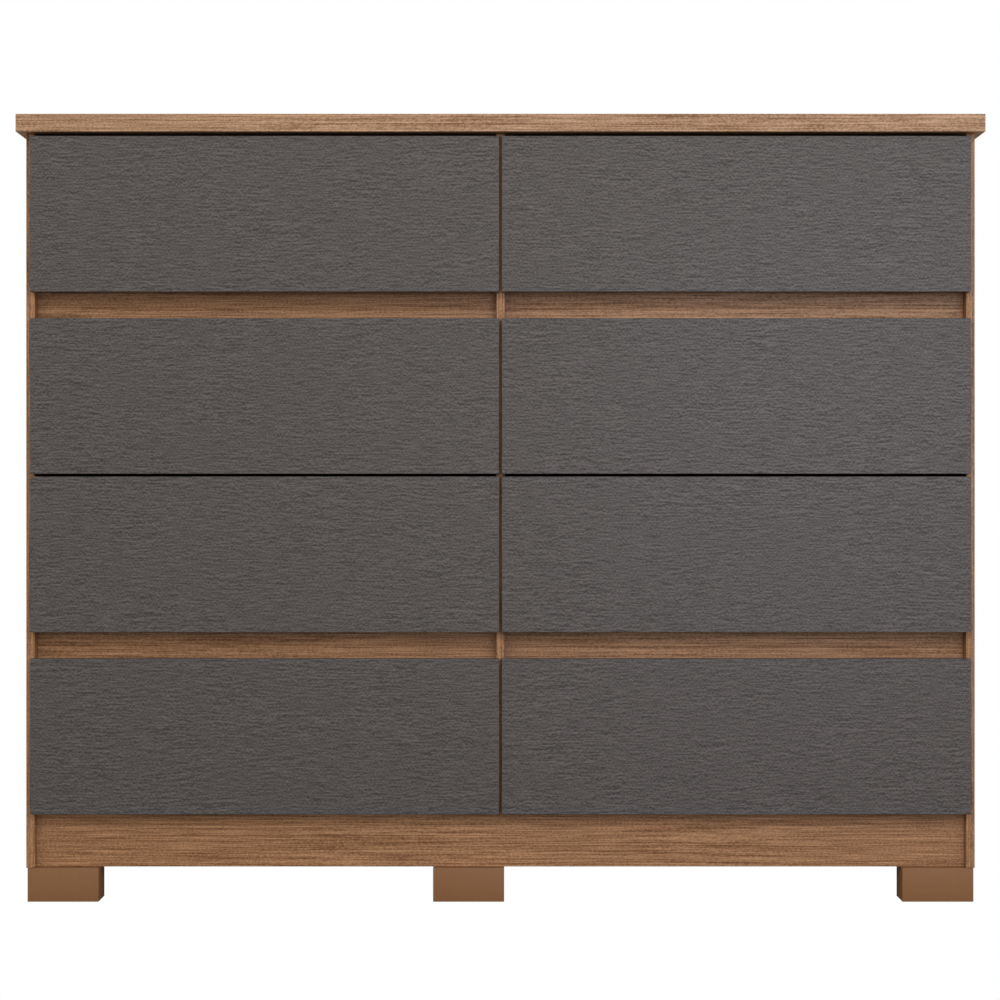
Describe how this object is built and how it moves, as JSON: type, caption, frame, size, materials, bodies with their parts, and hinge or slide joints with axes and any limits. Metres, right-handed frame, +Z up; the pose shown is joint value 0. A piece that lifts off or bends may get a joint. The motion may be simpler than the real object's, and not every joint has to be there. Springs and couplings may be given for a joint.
{
  "type": "dresser with drawers",
  "caption": "Wide freestanding dresser with two columns of handleless drawers, recessed finger rails, an overhanging top, a plinth and low block feet.",
  "frame": {"origin": "on the floor, under the middle of the top panel's outline", "axes": "+Z up, +X to the right of someone facing the dresser, +Y towards its back, so the drawers open along -Y"},
  "size_m": [1.369, 0.47, 1.116],
  "materials": {
    "brown_facing": "matt brown facing with fine dark and light grain along the board",
    "grey_facing": "matt dark grey facing with short fine horizontal streaks",
    "foot_plastic": "plain matt brown",
    "drawer_board": "matt off-white facing",
    "hardboard": "smooth brown hardboard",
    "runner_steel": "folded steel, satin white coating"
  },
  "bodies": {
    "carcass": {"back_panel_left": "hardboard", "back_panel_right": "hardboard", "bottom_panel_left": "brown_facing", "bottom_panel_right": "brown_facing", "centre_divider": "brown_facing", "foot_back_left": "foot_plastic", "foot_back_middle": "foot_plastic", "foot_back_right": "foot_plastic", "foot_front_left": "foot_plastic", "foot_front_middle": "foot_plastic", "foot_front_right": "foot_plastic", "handle_rail_lower_left": "brown_facing", "handle_rail_lower_right": "brown_facing", "handle_rail_upper_left": "brown_facing", "handle_rail_upper_right": "brown_facing", "plinth_back": "brown_facing", "plinth_front": "brown_facing", "runner_left_1_inner": "runner_steel", "runner_left_1_outer": "runner_steel", "runner_left_2_inner": "runner_steel", "runner_left_2_outer": "runner_steel", "runner_left_3_inner": "runner_steel", "runner_left_3_outer": "runner_steel", "runner_left_4_inner": "runner_steel", "runner_left_4_outer": "runner_steel", "runner_right_1_inner": "runner_steel", "runner_right_1_outer": "runner_steel", "runner_right_2_inner": "runner_steel", "runner_right_2_outer": "runner_steel", "runner_right_3_inner": "runner_steel", "runner_right_3_outer": "runner_steel", "runner_right_4_inner": "runner_steel", "runner_right_4_outer": "runner_steel", "side_panel_left": "brown_facing", "side_panel_right": "brown_facing", "top_panel": "brown_facing"},
    "drawer_left_1": {"drawer_left_1_front": "grey_facing", "drawer_left_1_box": "drawer_board", "drawer_left_1_bottom": "hardboard"},
    "drawer_left_2": {"drawer_left_2_front": "grey_facing", "drawer_left_2_box": "drawer_board", "drawer_left_2_bottom": "hardboard"},
    "drawer_left_3": {"drawer_left_3_front": "grey_facing", "drawer_left_3_box": "drawer_board", "drawer_left_3_bottom": "hardboard"},
    "drawer_left_4": {"drawer_left_4_front": "grey_facing", "drawer_left_4_box": "drawer_board", "drawer_left_4_bottom": "hardboard"},
    "drawer_right_1": {"drawer_right_1_front": "grey_facing", "drawer_right_1_box": "drawer_board", "drawer_right_1_bottom": "hardboard"},
    "drawer_right_2": {"drawer_right_2_front": "grey_facing", "drawer_right_2_box": "drawer_board", "drawer_right_2_bottom": "hardboard"},
    "drawer_right_3": {"drawer_right_3_front": "grey_facing", "drawer_right_3_box": "drawer_board", "drawer_right_3_bottom": "hardboard"},
    "drawer_right_4": {"drawer_right_4_front": "grey_facing", "drawer_right_4_box": "drawer_board", "drawer_right_4_bottom": "hardboard"}
  },
  "joints": [
    {"name": "drawer_left_1_slide", "type": "slide", "parent": "carcass", "child": "drawer_left_1", "axis": [0, -1, 0], "range_m": [0, 0.3]},
    {"name": "drawer_left_2_slide", "type": "slide", "parent": "carcass", "child": "drawer_left_2", "axis": [0, -1, 0], "range_m": [0, 0.3]},
    {"name": "drawer_left_3_slide", "type": "slide", "parent": "carcass", "child": "drawer_left_3", "axis": [0, -1, 0], "range_m": [0, 0.3]},
    {"name": "drawer_left_4_slide", "type": "slide", "parent": "carcass", "child": "drawer_left_4", "axis": [0, -1, 0], "range_m": [0, 0.3]},
    {"name": "drawer_right_1_slide", "type": "slide", "parent": "carcass", "child": "drawer_right_1", "axis": [0, -1, 0], "range_m": [0, 0.3]},
    {"name": "drawer_right_2_slide", "type": "slide", "parent": "carcass", "child": "drawer_right_2", "axis": [0, -1, 0], "range_m": [0, 0.3]},
    {"name": "drawer_right_3_slide", "type": "slide", "parent": "carcass", "child": "drawer_right_3", "axis": [0, -1, 0], "range_m": [0, 0.3]},
    {"name": "drawer_right_4_slide", "type": "slide", "parent": "carcass", "child": "drawer_right_4", "axis": [0, -1, 0], "range_m": [0, 0.3]}
  ]
}
